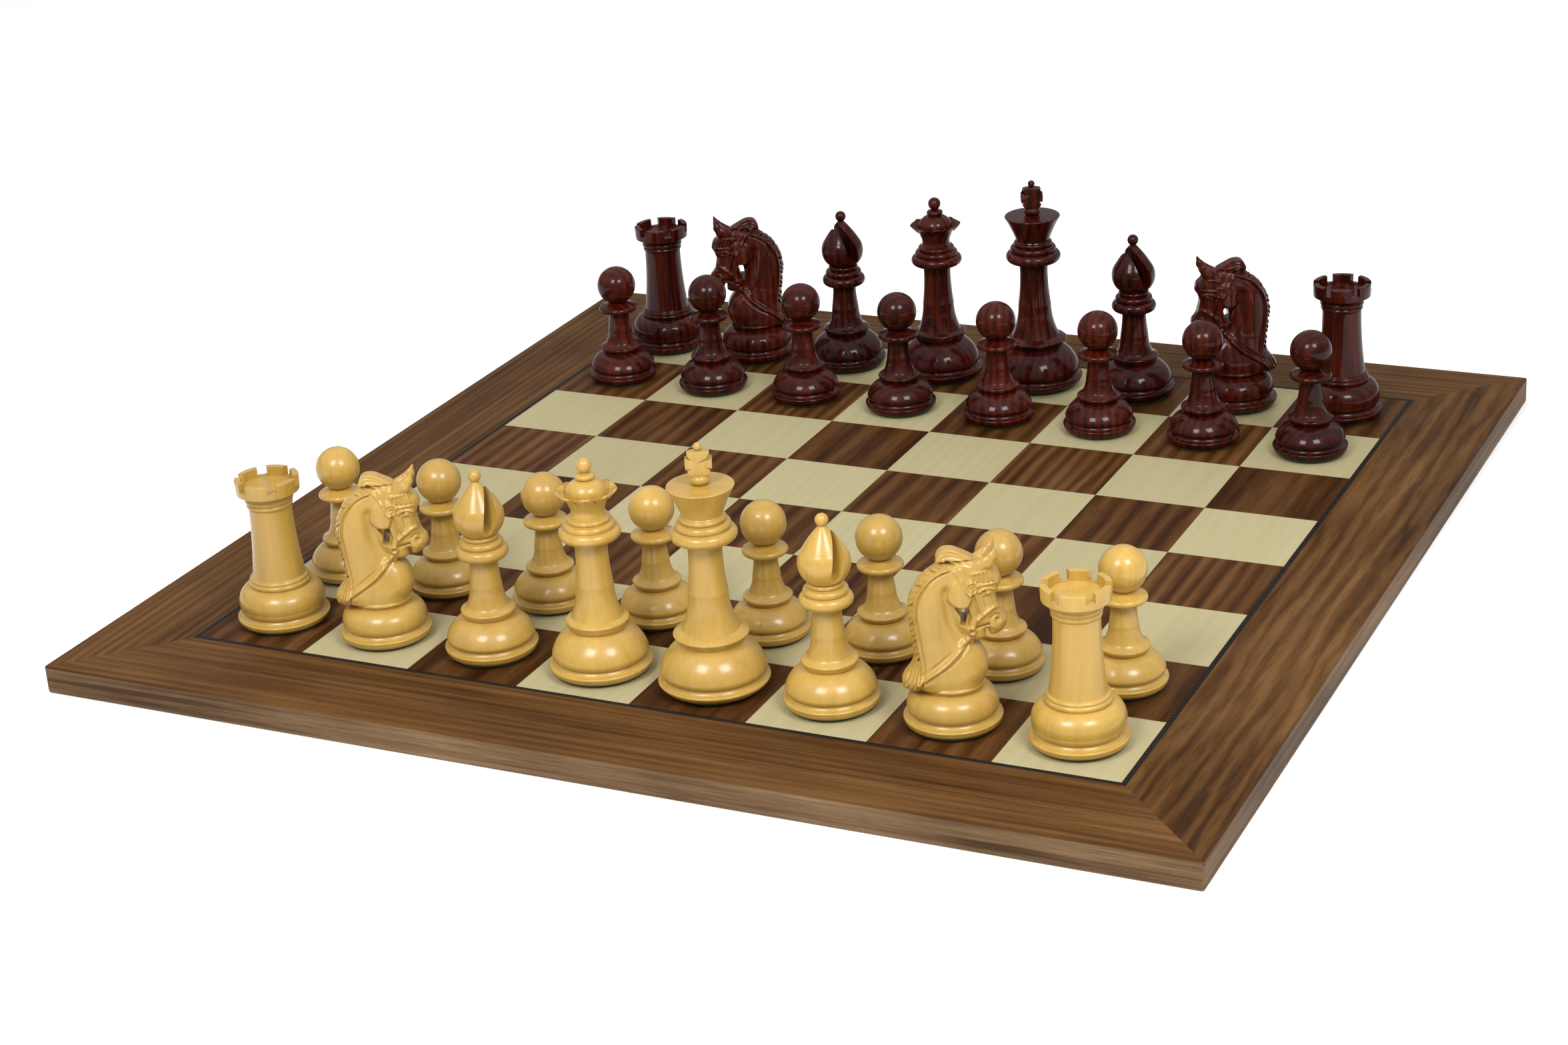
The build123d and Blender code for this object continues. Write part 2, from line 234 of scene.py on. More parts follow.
# ---------------------------------------------------------------------------
# The six kinds of chessman
# ---------------------------------------------------------------------------
def coronet(radius, height, angles):
    """Draws the queen's rim down and in between its petals."""
    floor, rim = 77.6, 83.9
    root, petal_length = 8.2, 4.8
    reach = 0.0
    if floor < height <= rim:
        reach = min(1.0, max(0.0, (radius - root) / petal_length)) ** 1.3
    gap = 1 - np.abs(np.cos(angles * QUEEN_PETALS / 2)) ** 0.75
    lift = reach * PETAL_LIFT * (1 - gap)
    return radius - reach * PETAL_CUT * gap, height - reach * PETAL_DROP * gap + lift


def mitre_blade():
    """The leaning cut through a bishop's mitre: thin inside, opening out like a bud at both faces."""
    half_length, face = 13, 10.5             # of the blade, and where it meets the mitre's faces
    floor_middle, floor_drop, top = 61.0, 3.6, 82.0
    thin, flare, lean = 1.45, 2.2, 0.25      # half thickness inside, what the faces add, forward per up
    middle, middle_height = -1.15, 60        # a place on the blade's middle plane
    ys = np.linspace(-half_length, half_length, 27)
    zs = np.linspace(0, 1, 25)
    sheets = []
    for sign in (-1, 1):
        sheet = []
        for y in ys:
            reach = min(abs(y), face) / face
            floor = floor_middle - floor_drop * reach ** 2
            for t in zs:
                z = floor + (top - floor) * t
                bud = math.sin(math.pi * min(1.0, t * 1.02)) ** 0.7
                half = thin + flare * reach ** 1.5 * bud * (1 - 0.35 * t)
                if t < 0.08:                 # the cut's floor is round
                    half *= 0.35 + 0.65 * (t / 0.08) ** 0.5
                sheet.append((middle + lean * (z - middle_height) + sign * half, y, z))
        sheets.append(sheet)
    vertices = np.array(sheets[0] + sheets[1])
    rows, columns = len(ys), len(zs)
    half_count = rows * columns
    faces = []
    for i in range(rows - 1):
        for j in range(columns - 1):
            a, b = i * columns + j, (i + 1) * columns + j
            c, d = b + 1, a + 1
            faces.append((a, d, c, b))
            faces.append((a + half_count, b + half_count, c + half_count, d + half_count))
        for j in (0, columns - 1):
            a, b = i * columns + j, (i + 1) * columns + j
            quad = (a, b, b + half_count, a + half_count)
            faces.append(quad if j == 0 else quad[::-1])
    for j in range(columns - 1):
        for i in (0, rows - 1):
            a, b = i * columns + j, i * columns + j + 1
            quad = (a, a + half_count, b + half_count, b)
            faces.append(quad if i == 0 else quad[::-1])
    return mesh_from("blade", vertices, faces)


def body_mesh(kind):
    profile = traced(OUTLINES[kind], (0, FELT))
    if kind == "queen":
        return spin(kind, profile, coronet, segments=QUEEN_PETALS * 20)
    mesh = spin(kind, profile)
    if kind == "rook":
        rim = max(height for _, height, _ in ROOK)
        bar_length = 40
        bars = []
        for n in range(ROOK_NOTCHES // 2):
            turn = Matrix.Rotation(math.radians(NOTCH_TURN + n * 360 / ROOK_NOTCHES), 4, "Z")
            place = turn @ Matrix.Translation((0, 0, rim))
            bars.append(block((bar_length, NOTCH_WIDTH, 2 * NOTCH_DEPTH), place))
        return cut(mesh, bars)
    if kind == "bishop":
        return cut(mesh, [mitre_blade()])
    return mesh


def felt_mesh(kind):
    radius = OUTLINES[kind][0][0] - FELT_INSET
    outline = [(radius - 0.2, 0, 0), (radius, 0.5, 0.1), (radius - 0.1, FELT, 0.05), (0, FELT, 0)]
    edge = traced(outline, (0, 0))

    def frayed(r, z, angles):
        wave = 0.18 * np.sin(7 * angles + 1) + 0.1 * np.sin(23 * angles) + 0.07 * np.sin(51 * angles + 2)
        return r + wave * (r > radius - 1), z + 0 * angles

    return spin(kind + "_felt", edge, frayed)


def cross_mesh():
    """The king's cross, its bead and its ball, as one closed mesh of several shells."""
    bead = traced([(3.0, CROSS_FLOOR, 0), (3.0, 97.4, 1.2), (0, 97.4, 0)], (0, CROSS_FLOOR))
    top_ball = traced([(0.9, 107.6, 0)] + ball(110.0, 1.8, 0.9), (0, 107.6))
    half = traced([
        (3.4, 97.2, 0), (4.8, 98.8, 0.1), (2.6, 101.2, 0.5), (5.5, 100.3, 0), (5.6, 105.4, 0.15),
        (2.6, 104.6, 0), (4.7, 107.6, 0.5), (0, 108.4, 0.2)], (0, 97.2))
    left = half[1:-1][::-1] * (-1, 1)
    ring = np.vstack([half, left])
    shape = bmesh.new()
    half_thickness = 2.3
    front = [shape.verts.new((x * MM, -half_thickness * MM, z * MM)) for x, z in ring]
    back = [shape.verts.new((x * MM, half_thickness * MM, z * MM)) for x, z in ring]
    shape.faces.new(front)
    shape.faces.new(back[::-1])
    for n in range(len(ring)):
        m = (n + 1) % len(ring)
        shape.faces.new((front[m], front[n], back[n], back[m]))
    bmesh.ops.recalc_face_normals(shape, faces=shape.faces)
    outline_edges = [e for e in shape.edges if abs(e.verts[0].co.y - e.verts[1].co.y) < 1e-7]
    bmesh.ops.bevel(shape, geom=outline_edges, offset=0.45 * MM, segments=3, profile=0.6, affect="EDGES")
    bmesh.ops.triangulate(shape, faces=[f for f in shape.faces if len(f.verts) > 4])
    for profile in (bead, top_ball):
        part = spin("part", profile, segments=48)
        shape.from_mesh(part)
        bpy.data.meshes.remove(part)
    mesh = bpy.data.meshes.new("cross")
    shape.to_mesh(mesh)
    shape.free()
    mesh.shade_smooth()
    mesh.set_sharp_from_angle(angle=math.radians(40))
    return mesh


# ---------------------------------------------------------------------------
# Placing the chessmen
# ---------------------------------------------------------------------------
HEADINGS = {"white": 27, "red": 207}
KINDS = ("king", "queen", "bishop", "knight", "rook", "pawn")
MESHES = {kind: body_mesh(kind) for kind in KINDS}
FELTS = {kind: felt_mesh(kind) for kind in KINDS}
CROSS = cross_mesh()


def seeded(mesh, name, seed):
    """A copy of the mesh that carries its own place in the log, for the grain."""
    own = mesh.copy()
    own.name = name
    spot = own.attributes.new("log_place", "FLOAT_VECTOR", "POINT")
    draw = np.random.default_rng(seed)
    place = np.concatenate([draw.uniform(-0.03, 0.03, 2), draw.uniform(0, 1, 1)])
    spot.data.foreach_set("vector", np.tile(place, len(own.vertices)))
    return own


def stand(name, mesh, material, body, at, heading, seed):
    piece = bpy.data.objects.new(name, seeded(mesh, name, seed))
    bpy.context.scene.collection.objects.link(piece)
    piece.data.materials.clear()
    piece.data.materials.append(material)
    piece.location = at
    piece.rotation_euler = (0, 0, math.radians(heading))
    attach(piece, body)
    return piece


# ---------------------------------------------------------------------------
# The carved knight's head: a side view with a thickness map, skinned on a grid.
# Places are (forward, height) in millimetres.
# ---------------------------------------------------------------------------
CELL = 0.35                # side of a grid cell
HEAD_SIDE = [  # outline, anticlockwise from the chest: forward, height, crown
    (15.0, 28.3, 0.7), (13.2, 34.0, 0.3), (9.4, 38.2, 0.3), (9.2, 39.6, 0),
    (11.6, 39.2, 0.2), (14.4, 40.4, 0.3), (14.2, 43.8, 0), (15.2, 44.0, 0), (16.0, 41.2, 0),
    (18.8, 40.9, 0.4), (22.9, 44.2, 0.7), (22.7, 48.6, 0.6), (20.2, 52.0, -0.2), (18.9, 58.5, -0.1),
    (20.0, 61.6, 0.2), (21.0, 65.2, 0.5), (18.6, 68.6, 0.7), (16.6, 71.2, 0), (11.4, 73.4, 0),
    (5.0, 77.2, 0.1), (0.0, 78.7, 0.4), (-3.9, 76.4, 0.7), (-4.8, 71.8, 0.4), (-12.8, 65.0, 0.5),
    (-17.4, 52.0, 0.9), (-15.6, 36.0, 0), (-15.4, 30.0, -0.3), (-20.2, 23.6, -0.4), (-20.4, 18.2, 0.1),
    (-14.2, 17.6, 0), (-13.0, 12.0, 0), (12.2, 12.0, 0), (12.6, HEAD_FLOOR, 0),
]
CREST = [  # the line between neck and mane, upwards
    (-15.4, 14), (-14.4, 20), (-13.0, 25.4), (-12.4, 30.0), (-13.6, 39.3), (-14.5, 47.8), (-14.6, 54),
    (-12.9, 60.8), (-8.6, 66.6), (-4.3, 69.5), (2.1, 71.8), (9.5, 73.5),
]
EAR = [  # (forward, aside, height) of places along it, and its radius there
    ((9.4, 3.0, 70.4), 2.3), ((12.8, 4.0, 71.3), 2.9), ((15.6, 4.6, 72.8), 2.9), ((17.8, 4.7, 75.6), 2.0),
    ((19.3, 4.7, 79.5), 0.4),
]
RIDGES = [  # raised lines, or grooves where the height is negative: places, height, half width
    ([(6.4, 40.7), (4.8, 38.9), (0, 33.6), (-6, 29.0), (-11, 26.0), (-14.2, 23.0)], 1.5, 1.15),
    ([(7.6, 39.1), (4, 35.1), (-1.4, 30.4), (-7.5, 26.8), (-14.0, 21.8)], -1.0, 0.6),
    ([(5, 38.4), (0.2, 35.6), (-5.8, 31.2), (-12.6, 26.6)], -0.7, 0.7),
    ([(-0.8, 61.0), (-0.4, 54.0), (1.2, 47.0), (4.6, 41.5)], -1.9, 2.6),
    ([(2.4, 70.2), (5.2, 65.7)], 0.7, 0.7),
    ([(4.6, 70.8), (7.4, 65.7)], 0.7, 0.7),
    ([(8, 60.4), (9.4, 55.5), (10.6, 50.5)], 0.6, 0.6),
    ([(10.2, 60.4), (11.6, 55.8), (13, 51.7)], 0.6, 0.6),
    ([(9.2, 60.2), (10.6, 55.7), (11.8, 51.2)], -0.5, 0.55),
    ([(11, 49.4), (14.4, 51.4), (17.6, 53.5), (20.6, 53.3)], 1.0, 0.85),
    ([(11.2, 49.2), (9.8, 47.5), (8.8, 45.6)], 0.9, 0.8),
    ([(15.4, 46.3), (13, 45.9), (10.6, 45.5)], -1.6, 0.5),
    ([(16.6, 49), (18.2, 50.2), (20, 49.4), (20.2, 47.2)], -0.9, 0.45),
    ([(19, 48.1), (19.2, 47.5)], -1.5, 0.65),
    ([(17.6, 45.3), (18.6, 44.8)], 0.8, 1.5),
    ([(14, 58.6), (14.6, 54.2)], -0.5, 0.5),
    ([(15.3, 60.5), (15.7, 60.5)], 1.3, 0.8),
    ([(12.0, 61.2), (13.6, 62.2), (15.8, 62.1), (18.2, 61.4)], 1.1, 0.55),
    ([(13.4, 61.0), (15.4, 61.9), (17.6, 61.3)], -0.9, 0.4),
    ([(11.4, 63.9), (14.6, 64.2), (18.4, 64.4)], 0.8, 0.6),
    ([(9, 68.9), (12.4, 69.5), (16.6, 70.2)], 0.8, 0.5),
    ([(9.6, 68.4), (9.4, 66.3)], 0.8, 0.5),
    ([(11.2, 68.7), (11.6, 65.9)], 0.9, 0.55),
    ([(13, 68.9), (13.8, 65.7)], 0.9, 0.55),
    ([(14.8, 69.1), (15.8, 65.7)], 0.9, 0.55),
    ([(16.6, 69.3), (17.8, 65.7)], 0.9, 0.55),
    ([(-4.3, 72.6), (-3.5, 76.0), (-0.6, 77.5), (4.2, 76.3), (10.0, 73.4)], -0.6, 0.55),
    ([(-2.8, 72.4), (-2.2, 75.2), (0.0, 76.0), (4.6, 74.9), (10.0, 72.6)], -0.6, 0.55),
    ([(1.0, 72.4), (1.4, 74.4), (5.4, 73.2), (9.4, 71.9)], -0.5, 0.5),
]
CHEEK = [
    (5.4, 68.4), (2.4, 66.1), (0.2, 63.4), (-0.9, 60.2), (-0.2, 57.1), (2.6, 55.2), (7, 55.2), (8.8, 58.9),
    (9.6, 62.7), (8.8, 67.4),
]
THROAT = [(2.2, 54.4), (7.2, 54.4), (8.4, 50), (7.2, 46.7), (5.6, 46.9), (4, 51.2)]
ROSETTE, BIT = (9, 63.1), (8.6, 44.4)
LOOP_HOLE = ((-0.7, 73.6), (-0.1, 73.6))
THROAT_HOLE = ((5.2, 47.8), (6.2, 53.2))
LOCK, HAIR = 3.9, 1.3                      # spacing of the mane's locks and of its hairs
FAN_TOP = 31.5                             # below this height the mane's hairs fan out
FAN_CENTRE, FAN_STEP = (-11.0, 40.0), 0.075     # where they spread from, and the angle between two


def eased(points, steps=6):
    """A smooth curve through the points."""
    p = np.array(points, float)
    if len(p) < 3:
        return p
    p = np.vstack([2 * p[0] - p[1], p, 2 * p[-1] - p[-2]])
    curve = []
    for a, b, c, d in zip(p, p[1:], p[2:], p[3:]):
        for n in range(steps):
            t = n / steps
            bend, twist = 2 * a - 5 * b + 4 * c - d, 3 * b - a - 3 * c + d
            curve.append(0.5 * (2 * b + (c - a) * t + bend * t * t + twist * t ** 3))
    return np.array(curve + [p[-2]])


def near(points, u, z):
    """For every place: distance to the line, way along it, and which side it is on."""
    best = np.full(u.shape, np.inf)
    along = np.zeros(u.shape)
    side = np.zeros(u.shape)
    gone = 0.0
    for (u0, z0), (u1, z1) in zip(points, points[1:]):
        du, dz = u1 - u0, z1 - z0
        length = math.hypot(du, dz)
        if length < 1e-9:
            continue
        t = np.clip(((u - u0) * du + (z - z0) * dz) / length ** 2, 0, 1)
        away = np.hypot(u - u0 - t * du, z - z0 - t * dz)
        closer = away < best
        best[closer] = away[closer]
        along[closer] = gone + t[closer] * length
        side[closer] = (du * (z - z0) - dz * (u - u0))[closer]
        gone += length
    return best, along, np.sign(side)


def signed(points, u, z):
    """Distance to a closed outline, negative inside it."""
    ring = np.vstack([points, points[:1]])
    inside = np.zeros(u.shape, bool)
    for (u0, z0), (u1, z1) in zip(ring, ring[1:]):
        if z0 != z1:
            inside ^= ((z0 > z) != (z1 > z)) & (u < (u1 - u0) * (z - z0) / (z1 - z0) + u0)
    return np.where(inside, -1, 1) * near(ring, u, z)[0]


def soften(values, share):
    """The values blurred over about a millimetre, mixed in by that share."""
    blurred = np.pad(values, 8, mode="edge")
    for _ in range(16):
        across = np.roll(blurred, 1, 0) + np.roll(blurred, -1, 0)
        upward = np.roll(blurred, 1, 1) + np.roll(blurred, -1, 1)
        blurred = (blurred + across + upward) / 5
    return values + share * (blurred[8:-8, 8:-8] - values)


def gentle(z, heights, values):
    """Straight runs between the values, their corners rounded off."""
    return sum(np.interp(z + shift, heights, values) for shift in (-2.4, -1.6, -0.8, 0, 0.8, 1.6, 2.4)) / 7


def skin(field, origin, step):
    """The surface where the field is zero, as points and four-sided faces."""
    shape = tuple(n - 1 for n in field.shape)
    total = np.zeros((*shape, 3))
    count = np.zeros(shape)

    def corner(offset):
        return field[tuple(slice(o, o + n) for o, n in zip(offset, shape))]

    for axis in range(3):
        for a in (0, 1):
            for b in (0, 1):
                low = [a, b]
                low.insert(axis, 0)
                high = [a, b]
                high.insert(axis, 1)
                f0, f1 = corner(low), corner(high)
                crossed = (f0 < 0) != (f1 < 0)
                total[crossed] += low
                total[crossed, axis] += f0[crossed] / (f0[crossed] - f1[crossed])
                count[crossed] += 1
    cells = count > 0
    number = np.full(shape, -1)
    number[cells] = np.arange(cells.sum())
    points = origin + step * (np.argwhere(cells) + total[cells] / count[cells][:, None])
    faces = []
    for axis in range(3):
        p, q = (axis + 1) % 3, (axis + 2) % 3
        low = [slice(None)] * 3
        high = [slice(None)] * 3
        low[axis], high[axis] = slice(0, -1), slice(1, None)
        f0, f1 = field[tuple(low)], field[tuple(high)]
        at = np.argwhere((f0 < 0) != (f1 < 0))
        at = at[(at[:, p] > 0) & (at[:, q] > 0) & (at[:, p] < shape[p]) & (at[:, q] < shape[q])]
        corners = []
        for dp, dq in ((1, 1), (0, 1), (0, 0), (1, 0)):
            spot = at.copy()
            spot[:, p] -= dp
            spot[:, q] -= dq
            corners.append(number[tuple(spot.T)])
        quads = np.stack(corners, axis=1)
        back = f0[tuple(at.T)] >= 0
        quads[back] = quads[back][:, ::-1]
        faces.append(quads)
    return points, np.concatenate(faces).tolist()


def side_maps(u, z):
    """Over the side view: distance outside the outline, half thickness, and radius of the edges."""
    outline = traced(HEAD_SIDE, HEAD_SIDE[-1][:2])
    far, along, side = near(eased(CREST), u, z)
    behind = far * side                      # positive on the mane
    fanned = z < FAN_TOP
    muzzle = (z > 38.6) & (u > 6)

    # the mane's locks and hairs run slantwise from the crest
    slant = (along + 1.8 * behind) / 2.06    # 2.06 is the length of (1, 1.8)
    locks = np.exp(-((slant / LOCK % 1 - 0.5) / 0.11) ** 2)
    fan = np.arctan2(u - FAN_CENTRE[0], FAN_CENTRE[1] - z) / FAN_STEP
    hairs = 0.5 - 0.5 * np.cos(2 * math.pi * np.where(fanned, fan, slant / HAIR))
    mane = np.clip((behind - 0.3) / 0.5, 0, 1) * (z < 74)

    # the outline, notched by the locks
    edge = soften(signed(outline, u, z), np.clip((40 - z) / 6, 0.12, 1))
    edge = edge + mane * (0.7 * locks + 0.2 * hairs) * np.clip(behind / 2.5, 0, 1) * ~fanned * (z < 71)

    # half thickness of neck, snout and mane
    width = gentle(z, [18, 26, 33, 40, 58, 72, 76], [12.3, 11.8, 9.8, 8.0, 7.3, 5.4, 3.4])
    snout = np.interp(u, [7, 12, 17, 22], [7.8, 6.9, 6.0, 4.4])
    width = np.where(muzzle, np.minimum(width, snout), width)
    slope = np.clip(behind / (behind + np.maximum(-edge, 0) + 0.3), 0, 1) * (behind > 0) * (z < 74)
    width = width * (1 - slope) + np.where(fanned, 2.6, 2.2) * slope
    rounding = gentle(z, [18, 24, 32, 40, 56, 66, 74, 80], [11.4, 10.8, 9.0, 6.6, 5.4, 3.0, 1.9, 1.5])
    rounding = np.where(muzzle, np.minimum(rounding, 3.0), rounding)
    rounding += (1.1 - rounding) * np.clip(behind / 1.6, 0, 1)

    # carving
    width += 0.6 * np.exp(-(behind / 0.4) ** 2) * (z < 71.5)        # the cord along the mane
    width -= 1.1 * np.exp(-((behind + 0.8) / 0.5) ** 2) * (z < 70)  # the groove in front of it
    width -= mane * np.where(fanned, 1.0 * hairs, 1.3 * locks + 1.1 * hairs)
    width = np.where(behind > 0, np.maximum(width, 1.8), width)
    neck = 1.1 * np.exp(-((u + 7.5) / 4.0) ** 2)
    width += neck * np.clip((z - 30) / 8, 0, 1) * np.clip((70 - z) / 8, 0, 1)
    for places, height, spread in RIDGES:
        width += height * np.exp(-(near(eased(places), u, z)[0] / spread) ** 2)
    jowl = np.clip(0.5 - signed(eased(CHEEK + CHEEK[:1]), u, z), 0, 1)
    width += 1.5 * jowl * np.clip((68 - z) / 6, 0, 1)
    width -= 3.0 * np.clip(0.5 - signed(np.array(THROAT), u, z) / 0.8, 0, 1)
    for centre, reach, hub in ((ROSETTE, 2.5, 0.5), (BIT, 1.6, 0.6)):
        away = np.hypot(u - centre[0], z - centre[1])
        width += 0.7 * np.exp(-((away - reach) / 0.42) ** 2) + 0.35 * (away < reach)
        width -= 0.9 * np.exp(-(away / (hub * 0.8)) ** 2)
    return edge, width, np.minimum(rounding, 0.8 * np.maximum(width, 1))


def blend(a, b, soft):
    """Two fields joined, with a fillet."""
    mix = np.clip(0.5 + 0.5 * (b - a) / soft, 0, 1)
    return b * (1 - mix) + a * mix - soft * mix * (1 - mix)


def head_mesh():
    """The side view given its thickness, with ears and forehead joined on and its holes opened."""
    u1, v1, z1 = np.arange(-23, 24.5, CELL), np.arange(-13.6, 13.7, CELL), np.arange(16, 82, CELL)
    u, z = np.meshgrid(u1, z1, indexing="ij")
    edge, width, rounding = (layer[:, None, :] for layer in side_maps(u, z))
    U, V, Z = u1[:, None, None], np.abs(v1)[None, :, None], z1[None, None, :]

    def cone(start, end, fat, thin, squash=1.0):
        start, end = np.array(start), np.array(end)
        run = end - start
        du, dv, dz = U - start[0], V - start[1], Z - start[2]
        t = np.clip((du * run[0] + dv * run[1] + dz * run[2]) / (run @ run), 0, 1)
        aside = squash * (dv - t * run[1])
        gap = np.sqrt((du - t * run[0]) ** 2 + aside ** 2 + (dz - t * run[2]) ** 2)
        return gap - (fat + (thin - fat) * t)

    out, over = edge + rounding, V - width + rounding
    within = np.minimum(np.maximum(out, over), 0)
    field = within + np.hypot(np.maximum(out, 0), np.maximum(over, 0)) - rounding
    ears = None
    for (start, fat), (end, thin) in zip(EAR, EAR[1:]):
        stretch = cone(start, end, fat, thin, squash=1.3)
        ears = stretch if ears is None else blend(ears, stretch, 0.5)
    hollow = cone((13.6, 2.6, 75.4), (18.9, 3.4, 79.4), 1.4, 0.3)
    ears = np.maximum(ears, -hollow)
    forehead = cone((18.4, 1.2, 66.2), (20.0, 0.8, 64.0), 1.9, 1.4)
    field = blend(blend(field, ears, 0.8), forehead, 0.9)
    for hole, radius in ((LOOP_HOLE, 0.95), (THROAT_HOLE, 1.3)):
        field = np.maximum(field, radius - near(hole, u, z)[0][:, None, :])
    field = np.maximum(field, np.where(U > -14.3, 19.9 - Z, 17.8 - Z))      # its foot, lower at the back
    points, faces = skin(field, np.array([u1[0], v1[0], z1[0]]), CELL)
    return mesh_from("head", points, faces, sharp=180)


HEAD = head_mesh()


# ---------------------------------------------------------------------------
# Finishes
# ---------------------------------------------------------------------------
class Finish:
    """A material under construction, with short ways to add and join nodes."""

    def __init__(self, name):
        self.material = bpy.data.materials.new(name)
        self.material.use_nodes = True
        self.tree = self.material.node_tree
        self.shader = self.tree.nodes["Principled BSDF"]
        self.put(self.shader, {"Specular IOR Level": 0.35})

    def put(self, node, inputs):
        for key, value in inputs.items():
            socket = node.inputs[key]
            if isinstance(value, bpy.types.NodeSocket):
                self.tree.links.new(value, socket)
            else:
                socket.default_value = value
        return node

    def add(self, kind, inputs, out=0, **settings):
        node = self.tree.nodes.new("ShaderNode" + kind)
        for key, value in settings.items():
            setattr(node, key, value)
        return self.put(node, inputs).outputs[out]

    def math(self, operation, a, b=0.5):
        return self.add("Math", {0: a, 1: b}, operation=operation)

    def vector(self, operation, a, b=(1, 1, 1)):
        return self.add("VectorMath", {0: a, 1: b}, operation=operation)

    def ramp(self, factor, stops):
        node = self.tree.nodes.new("ShaderNodeValToRGB")
        band = node.color_ramp
        while len(band.elements) < len(stops):
            band.elements.new(0.5)
        for element, (place, colour) in zip(band.elements, stops):
            element.position = place
            element.color = (*colour, 1) if len(colour) == 3 else colour
        self.put(node, {0: factor})
        return node.outputs[0]

    def blend(self, factor, a, b, mode="MIX"):
        node = self.tree.nodes.new("ShaderNodeMix")
        node.data_type = "RGBA"
        node.blend_type = mode
        for socket, value in ((node.inputs[0], factor), (node.inputs[6], a), (node.inputs[7], b)):
            if isinstance(value, bpy.types.NodeSocket):
                self.tree.links.new(value, socket)
            elif isinstance(value, tuple):
                socket.default_value = (*value, 1)
            else:
                socket.default_value = value
        return node.outputs[2]

    def noise(self, place, scale, detail=4.0, roughness=0.5, distortion=0.0):
        return self.add("TexNoise", {"Vector": place, "Scale": scale, "Detail": detail,
                                     "Roughness": roughness, "Distortion": distortion})


def timber(name, stops, dark, along="Z", streak=220, stretch=22, ring=2.4, wander=5.0, ring_share=0.5,
           pores=0.25, roughness=0.35, coat=0.6, coat_roughness=0.14, gloss=0.3, bump=0.15, tint=0.25,
           per_square=False, seeded_pieces=False):
    """Planed and finished wood.

    stops colour its figure and dark its pores. The grain runs along one axis of the piece. streak is the
    noise scale of the fine streaks and stretch how far they are drawn out. ring is the space between
    growth rings in millimetres, wander how crooked they are, and ring_share how far they show over the
    streaks. gloss is the specular level under the coat. tint is how much darker the darkest piece or
    square is than the lightest.
    """
    f = Finish(name)
    spot = f.add("TexCoord", {}, out=3)
    shade = None
    if seeded_pieces:
        log = f.add("Attribute", {}, out=1, attribute_name="log_place")
        split = f.tree.nodes.new("ShaderNodeSeparateXYZ")
        f.tree.links.new(log, split.inputs[0])
        shade = split.outputs[2]
        spot = f.vector("ADD", spot, f.vector("MULTIPLY", log, (1, 1, 4)))
    if per_square:
        side = SQUARE * MM
        from_corner = f.vector("ADD", spot, (4 * side, 4 * side, 0))
        cell = f.vector("FLOOR", f.vector("MULTIPLY", from_corner, (1 / side, 1 / side, 0)))
        dice = f.add("TexWhiteNoise", {"Vector": cell}, out=1)
        shade = f.add("TexWhiteNoise", {"Vector": cell}, out=0)
        spot = f.vector("ADD", spot, f.vector("MULTIPLY", dice, (3, 3, 3)))
    # the grain runs along local Z from here on
    split = f.tree.nodes.new("ShaderNodeSeparateXYZ")
    f.tree.links.new(spot, split.inputs[0])
    x, y, z = split.outputs
    order = {"X": (y, z, x), "Y": (z, x, y), "Z": (x, y, z)}[along]
    grain = f.add("CombineXYZ", {0: order[0], 1: order[1], 2: order[2]})
    long_grain = f.vector("MULTIPLY", grain, (1, 1, 1 / stretch))
    warp = f.noise(f.vector("MULTIPLY", grain, (1, 1, 0.35)), 28, 2.0)
    streaks = f.noise(long_grain, streak, 5.0, 0.6, 0.4)
    fibres = f.noise(long_grain, streak * 7, 3.0, 0.6)
    rings = f.add("TexWave", {"Vector": f.vector("MULTIPLY", grain, (1, 1, 0.12)),
                              "Scale": 0.314 / (ring * MM),      # one ring to every so many millimetres
                              "Distortion": wander, "Detail": 3.0, "Detail Scale": 0.35 * ring,
                              "Detail Roughness": 0.6},
                  out=1, wave_type="RINGS", rings_direction="Z", wave_profile="SIN")
    figure = f.math("ADD", f.math("MULTIPLY", rings, ring_share), f.math("MULTIPLY", streaks, 1 - ring_share))
    figure = f.math("ADD", figure, f.math("MULTIPLY", f.math("SUBTRACT", warp, 0.5), 0.5))
    colour = f.ramp(figure, stops)
    hairs = f.ramp(fibres, [(0.30, (1, 1, 1)), (0.46, (0, 0, 0))])
    colour = f.blend(f.math("MULTIPLY", hairs, pores), colour, dark)
    if shade is not None:
        darkest = (1 - tint, 1 - tint * 1.1, 1 - tint * 1.2)
        colour = f.blend(1.0, colour, f.ramp(shade, [(0, darkest), (1, (1, 1, 1))]), "MULTIPLY")
    height = f.math("SUBTRACT", f.math("MULTIPLY", streaks, 0.4), f.math("MULTIPLY", hairs, 0.6))
    normal = f.add("Bump", {"Strength": bump, "Distance": 0.0002, "Height": height})
    rough = f.add("MapRange", {"Value": streaks, "To Min": roughness * 0.8, "To Max": roughness * 1.25})
    f.put(f.shader, {"Base Color": colour, "Roughness": rough, "Normal": normal, "Coat Weight": coat,
                     "Coat Roughness": coat_roughness, "Specular IOR Level": gloss})
    return f.material


